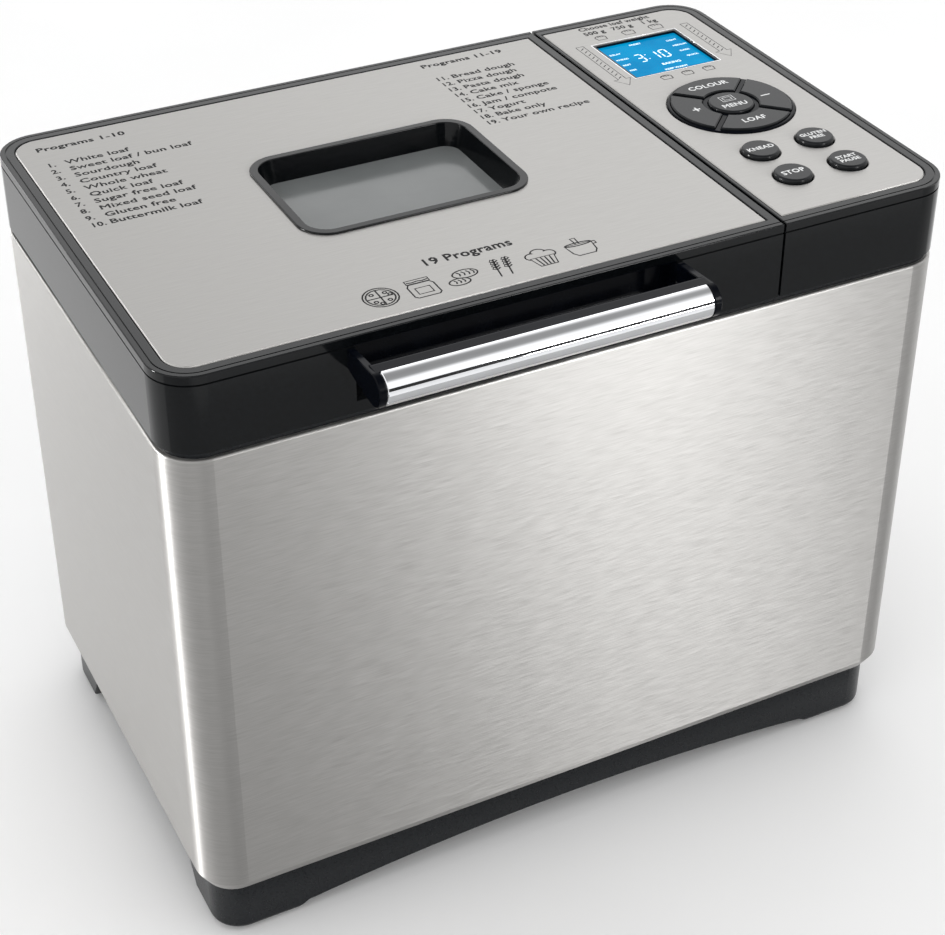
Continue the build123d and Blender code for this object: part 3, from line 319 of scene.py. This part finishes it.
def words(name, text, at, size, material, body, align="CENTER", heavy=0.1, line=1.0, wide=1.0):
    """Flat lettering that faces up. Its size is in millimetres.

    A line of the radius heavy runs along the outlines and makes the letters bold. The spacing
    grows with it, so that the letters stay apart.
    """
    data = bpy.data.curves.new(name, "FONT")
    data.body = text
    data.size = size
    data.align_x = align
    data.align_y = "CENTER" if align == "CENTER" else "TOP"
    data.space_line = line
    data.space_character = 1 + 1.2 * heavy / size
    data.resolution_u = 2
    letters = add(name, data, material)
    edge = add(name + "_edge", data.copy(), material)
    chosen(edge)
    bpy.ops.object.convert(target="CURVE")
    edge.data.dimensions = "3D"
    edge.data.fill_mode = "FULL"
    edge.data.bevel_depth = heavy
    edge.data.bevel_resolution = 0
    letters.data.extrude = INK / MM
    for piece, thick in ((letters, 1), (edge, INK / MM / heavy)):
        piece.location = at
        piece.scale = (wide * MM, MM, thick * MM)
        chosen(piece)
        bpy.ops.object.convert(target="MESH")
    chosen(letters, edge)
    bpy.ops.object.join()
    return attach(letters, body)


def drawing(name, lines, width, height, material, body):
    """Line art: each line is a list of (x, y) points in metres, drawn flat at a height."""
    data = bpy.data.curves.new(name, "CURVE")
    data.dimensions = "3D"
    data.bevel_depth = width * MM / 2
    data.bevel_resolution = 1
    for line in lines:
        closed = line[0] == line[-1]
        points = line[:-1] if closed else line
        spline = data.splines.new("POLY")
        spline.points.add(len(points) - 1)
        for point, (x, y) in zip(spline.points, points):
            point.co = (x, y, 0, 1)
        spline.use_cyclic_u = closed
    obj = add(name, data, material)
    obj.location = (0, 0, height)
    obj.scale = (1, 1, 2 * INK / (width * MM))
    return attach(obj, body)


def ring(x, y, across, tall=None, start=0, end=360, steps=20):
    """Points along an ellipse, or a part of one, that close if it is whole."""
    tall = across if tall is None else tall
    angles = [math.radians(start + (end - start) * i / steps) for i in range(steps + 1)]
    points = [(x + across * math.cos(a), y + tall * math.sin(a)) for a in angles]
    if end - start == 360:
        points[-1] = points[0]
    return points


def box_line(x0, y0, x1, y1):
    """A closed rectangle."""
    return [(x0, y0), (x1, y0), (x1, y1), (x0, y1), (x0, y0)]


def pizza():
    """A pizza cut in four."""
    lines = [ring(0, 0, 0.95), ring(0, 0, 0.78)]
    lines += [[(-0.78, 0.0), (0.78, 0.0)], [(0.0, -0.78), (0.0, 0.78)]]
    for x, y in ((0.38, 0.36), (-0.36, 0.4), (-0.4, -0.36), (0.36, -0.4), (0.58, 0.12), (-0.14, -0.58)):
        lines.append(ring(x, y, 0.11, steps=8))
    return lines


def jam_jar():
    """A jar with a cloth lid and a label."""
    body = [(-0.6, 0.45), (-0.75, 0.2), (-0.75, -0.8), (-0.6, -0.95), (0.6, -0.95), (0.75, -0.8),
            (0.75, 0.2), (0.6, 0.45), (-0.6, 0.45)]
    lines = [body, box_line(-0.42, -0.62, 0.42, 0.0), box_line(-0.66, 0.5, 0.66, 0.86)]
    lines.append([(-0.6, 0.68), (-0.3, 0.62), (0.0, 0.68), (0.3, 0.62), (0.6, 0.68)])
    return lines


def loaves():
    """Two long loaves, one before the other."""
    lines = [ring(0.25, 0.25, 0.72, 0.42, steps=18), ring(-0.35, -0.4, 0.6, 0.34, 20, 380)]
    for x in (-0.15, 0.12, 0.4, 0.66):
        lines.append([(x, 0.5), (x + 0.12, 0.3), (x + 0.06, 0.08)])
    for x in (-0.62, -0.38, -0.14):
        lines.append([(x, -0.2), (x + 0.1, -0.36), (x + 0.04, -0.54)])
    return lines


def wheat():
    """Two ears of wheat."""
    lines = []
    for foot, lean in ((-0.5, 0.25), (0.15, 0.3)):
        tip = foot + lean + 0.1
        lines.append([(foot, -0.9), (foot + lean * 0.6, 0.0), (tip, 0.9)])
        for step in range(4):
            y = -0.05 + step * 0.25
            x = foot + lean * 0.6 + (tip - foot - lean * 0.6) * (y / 0.9)
            for side in (-1, 1):
                lines.append([(x, y - 0.1), (x + side * 0.22, y + 0.02), (x + side * 0.1, y + 0.22), (x, y)])
    return lines


def muffin():
    """A muffin in its paper cup."""
    cup = [(-0.7, 0.0), (-0.5, -0.9), (0.5, -0.9), (0.7, 0.0), (-0.7, 0.0)]
    lines = [cup, ring(-0.5, 0.2, 0.38, 0.34, 60, 240, 8), ring(0.0, 0.42, 0.45, 0.42, 10, 170, 10),
             ring(0.5, 0.2, 0.38, 0.34, -60, 120, 8)]
    lines += [[(x, -0.05), (x * 0.75, -0.85)] for x in (-0.4, -0.13, 0.13, 0.4)]
    return lines


def pot():
    """A pot with a spoon in it."""
    bowl = [(-0.8, 0.35), (-0.7, -0.5), (-0.5, -0.8), (0.5, -0.8), (0.7, -0.5), (0.8, 0.35), (-0.8, 0.35)]
    lines = [bowl, ring(0.0, 0.35, 0.8, 0.16, steps=16)]
    lines.append([(-0.1, 0.4), (-0.14, 1.0), (0.14, 1.0), (0.1, 0.4)])
    lines.append([(0.8, 0.3), (0.98, 0.3), (0.98, 0.05), (0.77, 0.05)])
    return lines


def small_loaf():
    """A tin loaf, seen from its end."""
    lines = [ring(0, 0.2, 0.9, 0.5, 0, 180, 10) + [(-0.75, -0.7), (0.75, -0.7), (0.9, 0.2)]]
    lines += [[(x, 0.62), (x + 0.14, 0.2)] for x in (-0.4, 0.0, 0.4)]
    return lines


def placed(lines, x, y, half):
    """Line art from a -1 to 1 square, moved to a place in metres. Its half width is in millimetres."""
    return [[(x + px * half * MM, y + py * half * MM) for px, py in line] for line in lines]


def programme_list(name, first, names, left, top, heading, pitch):
    """A heading, a column of numbers and a column of programme names on the lid."""
    size = 0.8 * pitch
    line = pitch / size
    list_top = top - 2.45 * pitch * MM
    names_left = left + 8.2 * MM
    words(name + "_heading", heading, (left, top, TOP), size, INK_BLACK, "lid", align="LEFT",
          heavy=0.2, wide=1.22)
    numbers = "\n".join(f"{first + i}." for i in range(len(names)))
    words(name + "_numbers", numbers, (left, list_top, TOP), size, INK_BLACK, "lid", align="LEFT",
          heavy=0.17, line=line)
    words(name + "_names", "\n".join(names), (names_left, list_top, TOP), size, INK_BLACK, "lid",
          align="LEFT", heavy=0.17, line=line, wide=1.2)


def lid_print():
    """The two lists of programmes, the title and the row of food pictures."""
    first = ["White loaf", "Sweet loaf / bun loaf", "Sourdough", "Country loaf", "Whole wheat",
             "Quick loaf", "Sugar free loaf", "Mixed seed loaf", "Gluten free", "Buttermilk loaf"]
    second = ["Bread dough", "Pizza dough", "Pasta dough", "Cake mix", "Cake / sponge",
              "Jam / compote", "Yogurt", "Bake only", "Your own recipe"]
    left, back, front = PLATE_LOW.x, PLATE_HIGH.y, PLATE_LOW.y
    programme_list("list_left", 1, first, left + 8.8 * MM, back - 8.0 * MM, "Programs 1-10", 6.7)
    programme_list("list_right", 11, second, left + 198 * MM, back - 4.8 * MM, "Programs 11-19", 6.5)
    handle_x = middle("handle_bar").x
    title_at = (handle_x - 5 * MM, front + 31 * MM, TOP)
    words("lid_title", "19 Programs", title_at, 7.6, INK_BLACK, "lid", heavy=0.24)
    first_x = handle_x - 50.5 * MM
    spacing = 17.8 * MM
    for i, picture in enumerate((pizza, jam_jar, loaves, wheat, muffin, pot)):
        art = placed(picture(), first_x + i * spacing, front + 14.5 * MM, 7.6)
        drawing("picture_" + picture.__name__, art, 0.7, TOP, INK_BLACK, "lid")


def arrow_down(x, top, bottom):
    """An outlined arrow that points to the front, with slanting ticks in its shaft."""
    shaft, head = 2.0 * MM, 4.4 * MM
    neck = bottom + 7 * MM
    outline = [(x - shaft, top), (x + shaft, top), (x + shaft, neck), (x + head, neck), (x, bottom),
               (x - head, neck), (x - shaft, neck), (x - shaft, top)]
    ticks = []
    y = top - 3 * MM
    while y > neck:
        ticks.append([(x - 0.5 * shaft, y - 0.8 * MM), (x + 0.5 * shaft, y + 0.8 * MM)])
        y -= 3.6 * MM
    return [outline] + ticks


def panel_print():
    """What is printed round the display: loaf weights, loaf pictures and two arrows."""
    low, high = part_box("lcd_frame")
    x = middle("lcd_frame").x
    edge = box_line(low.x - 0.5 * MM, low.y - 0.2 * MM, high.x + 0.2 * MM, high.y + 0.5 * MM)
    drawing("display_edge", [edge], 0.7, TOP, MATERIALS["chrome_trim"], "casing")
    heading_at = (x - 0.5 * MM, high.y + 19.0 * MM, TOP)
    words("panel_heading", "Choose loaf weight", heading_at, 5.0, INK_BLACK, "casing", heavy=0.19, wide=0.96)
    for i, weight in enumerate(("500 g", "750 g", "1 kg")):
        weight_x = x + (i - 0.95) * 15.5 * MM
        crust_x = x + (i - 0.85) * 11.6 * MM
        loaf = placed(small_loaf(), weight_x, high.y + 6.6 * MM, 3.2 + 0.4 * i)
        crust = placed(small_loaf(), crust_x, low.y - 5.4 * MM, 3.1)
        words(f"weight_{i + 1}", weight, (weight_x, high.y + 13.3 * MM, TOP), 5.0, INK_BLACK, "casing",
              heavy=0.2)
        drawing(f"loaf_weight_{i + 1}", loaf, 0.55, TOP, INK_BLACK, "casing")
        drawing(f"loaf_crust_{i + 1}", crust, 0.55, TOP, INK_BLACK, "casing")
    arrows = arrow_down(low.x - 6.4 * MM, high.y + 1.5 * MM, low.y - 5 * MM)
    arrows += arrow_down(high.x + 7.2 * MM, high.y + 3.5 * MM, low.y + 1.5 * MM)
    drawing("panel_arrows", arrows, 0.5, TOP, INK_BLACK, "casing")


# The ends of a figure's seven bars, in steps of its width and its half height.
SEGMENTS = {
    "a": (0, 2, 1, 2), "b": (1, 1, 1, 2), "c": (1, 0, 1, 1), "d": (0, 0, 1, 0),
    "e": (0, 0, 0, 1), "f": (0, 1, 0, 2), "g": (0, 1, 1, 1),
}
DIGITS = {"1": "bc", "3": "abcdg", "0": "abcdef"}


def figure_bars(figure, x, y):
    """The lit bars of one figure, whose lower left corner is at x, y."""
    width, half_height, gap = 3.4 * MM, 4.1 * MM, 0.45 * MM
    bars = []
    for key in DIGITS[figure]:
        x0, y0, x1, y1 = SEGMENTS[key]
        start = Vector((x + x0 * width, y + y0 * half_height))
        end = Vector((x + x1 * width, y + y1 * half_height))
        along = (end - start).normalized() * gap
        bars.append([tuple(start + along), tuple(end - along)])
    return bars


def display_figures(centre, top):
    """A time in hours and minutes: a three, two dots, a one and a nought."""
    middle_y = centre.y + 1 * MM
    foot_y = middle_y - 4.1 * MM
    lines = []
    for figure, x in (("3", -9.5), ("1", -1.9), ("0", 3.9)):
        lines += figure_bars(figure, centre.x + x * MM, foot_y)
    dots_x = centre.x - 4 * MM
    for side in (-1, 1):
        dot_y = middle_y + side * 2.4 * MM
        lines.append([(dots_x, dot_y - 0.3 * MM), (dots_x, dot_y + 0.3 * MM)])
    drawing("lcd_figures", lines, 0.75, top, LCD_WHITE, "casing")


def display_picture():
    """White figures and small words on the display's glass."""
    low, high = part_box("lcd_glass")
    centre = middle("lcd_glass")
    display_figures(centre, high.z)
    for side, text, x, y in (
        ("left", "DELAY\nKNEAD\nREST\nRISE", low.x + 2.4 * MM, high.y - 9 * MM),
        ("right", "LIGHT\nMEDIUM\nDARK\nQUICK", high.x - 8.6 * MM, high.y - 6 * MM),
    ):
        words("lcd_words_" + side, text, (x, y, high.z), 2.0, LCD_WHITE, "casing", align="LEFT",
              heavy=0.03, line=3.2)
    for place, text, x, y, size, heavy in (
        ("top", "PRESET", centre.x - 2 * MM, high.y - 3.6 * MM, 2.0, 0.03),
        ("mode", "BAKING", centre.x + 3 * MM, low.y + 10 * MM, 2.8, 0.05),
        ("base", "KEEP WARM", centre.x + 2 * MM, low.y + 4.0 * MM, 2.2, 0.04),
    ):
        words("lcd_word_" + place, text, (x, y, high.z), size, LCD_WHITE, "casing", heavy=heavy)


def button_legends():
    """White lettering on the buttons, each riding on its own key. Sizes are in millimetres."""
    for key, text, size, lift in (
        ("crust", "COLOUR", 4.9, 1.5),
        ("size", "LOAF", 4.9, -1.0),
        ("plus", "+", 8.0, 0.0),
        ("minus", "\u2013", 9.0, 0.0),
        ("menu", "MENU", 4.6, -3.4),
        ("knead", "KNEAD", 3.9, 0.0),
        ("gluten_free", "GLUTEN\nFREE", 3.4, 0.0),
        ("stop", "STOP", 4.6, 0.0),
        ("start", "START\nPAUSE", 3.4, 0.0),
    ):
        centre = middle("button_" + key)
        at = (centre.x, centre.y + lift * MM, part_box("button_" + key)[1].z)
        words("legend_" + key, text, at, size, INK_WHITE, "key_" + key, heavy=0.17)


def menu_sign():
    """A small screen drawn above the word on the menu button."""
    menu = middle("button_menu")
    half_w, half_d = 3.4 * MM, 2.5 * MM
    x, y = menu.x, menu.y + 3.6 * MM
    screen = [box_line(x - half_w, y - half_d, x + half_w, y + half_d),
              box_line(x - 0.6 * half_w, y - 0.5 * half_d, x + 0.6 * half_w, y + 0.5 * half_d)]
    drawing("legend_menu_screen", screen, 0.45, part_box("button_menu")[1].z, INK_WHITE, "key_menu")


# ---------------------------------------------------------------- stage
def floor():
    """A large pale plane that reflects nothing sharply."""
    bpy.ops.mesh.primitive_plane_add(size=24)
    plane = bpy.context.object
    plane.name = "floor"
    plane.data.materials.append(surface(
        "floor_paint", (0.92, 0.92, 0.92), (0.95, 0.95, 0.95), even(3), (0.75, 0.85), Specular_IOR_Level=0.0))


# The studio's brightness at rising heights, from 0 at the horizon to 1 overhead.
SURROUND = ((0.0, 0.62), (0.12, 0.80), (0.25, 1.0), (0.72, 1.0), (0.86, 0.32), (1.0, 0.22))


def world():
    """A soft studio surround: bright half way up, dimmer at the horizon and dim overhead."""
    studio = bpy.data.worlds.new("studio")
    studio.use_nodes = True
    bpy.context.scene.world = studio
    tree = studio.node_tree
    place = tree.nodes.new("ShaderNodeTexCoord")
    split = tree.nodes.new("ShaderNodeSeparateXYZ")
    ramp = tree.nodes.new("ShaderNodeValToRGB")
    for i, (height, level) in enumerate(SURROUND):
        element = ramp.color_ramp.elements[i] if i < 2 else ramp.color_ramp.elements.new(height)
        element.position = height
        element.color = (level, level, level, 1)
    background = tree.nodes["Background"]
    background.inputs["Strength"].default_value = 1.15
    tree.links.new(place.outputs["Generated"], split.inputs["Vector"])
    tree.links.new(split.outputs["Z"], ramp.inputs["Fac"])
    tree.links.new(ramp.outputs["Color"], background.inputs["Color"])


def softbox(name, at, width, height, power, matt=False, glossy=True):
    """An area light aimed at the machine, for the matt surfaces, the glossy ones or both."""
    data = bpy.data.lights.new(name, "AREA")
    data.shape = "RECTANGLE"
    data.size = width
    data.size_y = height
    data.energy = power
    lamp = bpy.data.objects.new(name, data)
    bpy.context.scene.collection.objects.link(lamp)
    lamp.location = at
    aim = Vector((0, 0, 150 * MM)) - Vector(at)
    lamp.rotation_euler = aim.to_track_quat("-Z", "Y").to_euler()
    lamp.visible_camera = False
    lamp.visible_diffuse = matt
    lamp.visible_glossy = glossy


def lights():
    """Large boxes behind and above, and tall ones whose streaks show in the brushed steel."""
    softbox("rear_softbox", (1.1, 2.15, 1.7), 2.4, 1.4, 5, matt=True)
    softbox("top_softbox", (0.0, 0.0, 2.4), 1.6, 1.6, 15, matt=True, glossy=False)
    softbox("front_softbox", (0.84, -1.7, 0.62), 0.35, 1.1, 18)
    softbox("side_softbox", (-2.0, 0.55, 0.5), 0.24, 1.0, 40)
    softbox("left_softbox", (-0.8, 1.55, 0.35), 0.5, 0.6, 5)


def card(name, low, high, shade):
    """A card that only the glossy surfaces see, as one stands by a shiny object in a studio."""
    mesh = bpy.data.meshes.new(name)
    (x0, y0, z0), (x1, y1, z1) = low, high
    corners = ((x0, y0, z0), (x1, y0, z0), (x1, y1, z1), (x0, y1, z1))
    mesh.from_pydata(corners, [], [(0, 1, 2, 3)])
    paint = surface(name, (shade, shade, shade), (1.1 * shade,) * 3, even(3), (0.8, 0.9))
    board = add(name, mesh, paint)
    board.visible_camera = False
    board.visible_diffuse = False
    board.visible_shadow = False


def cards():
    """A grey card on the floor in front, and an upright black one farther off."""
    front = CAD_BOX[0][1]
    floor_z, far_y = 0.004, front - 1.1
    card("floor_card", (-0.7, front - 0.40, floor_z), (0.9, front + 0.02, floor_z), 0.46)
    card("horizon_card", (-0.6, far_y, 0.20), (2.6, far_y, 0.58), 0.01)


def camera():
    """Looks down on the machine from its front left."""
    azimuth, elevation = math.radians(-26.86), math.radians(33.38)
    distance = 0.9815
    aim = Vector((7.46 * MM, 16.77 * MM, 166.2 * MM))
    level = math.cos(elevation)
    back = Vector((math.sin(azimuth) * level, -math.cos(azimuth) * level, math.sin(elevation)))
    data = bpy.data.cameras.new("camera")
    data.lens = 78.76
    data.shift_y = -0.0714
    eye = bpy.data.objects.new("camera", data)
    bpy.context.scene.collection.objects.link(eye)
    eye.location = aim + back * distance
    eye.rotation_euler = (-back).to_track_quat("-Z", "Y").to_euler()
    bpy.context.scene.camera = eye


dress_nodes()
dress_rims()
paint_scoop_shade()
dress_boards()
lid_print()
panel_print()
display_picture()
button_legends()
menu_sign()
floor()
cards()
world()
lights()
camera()
bpy.context.scene.view_settings.view_transform = "Standard"
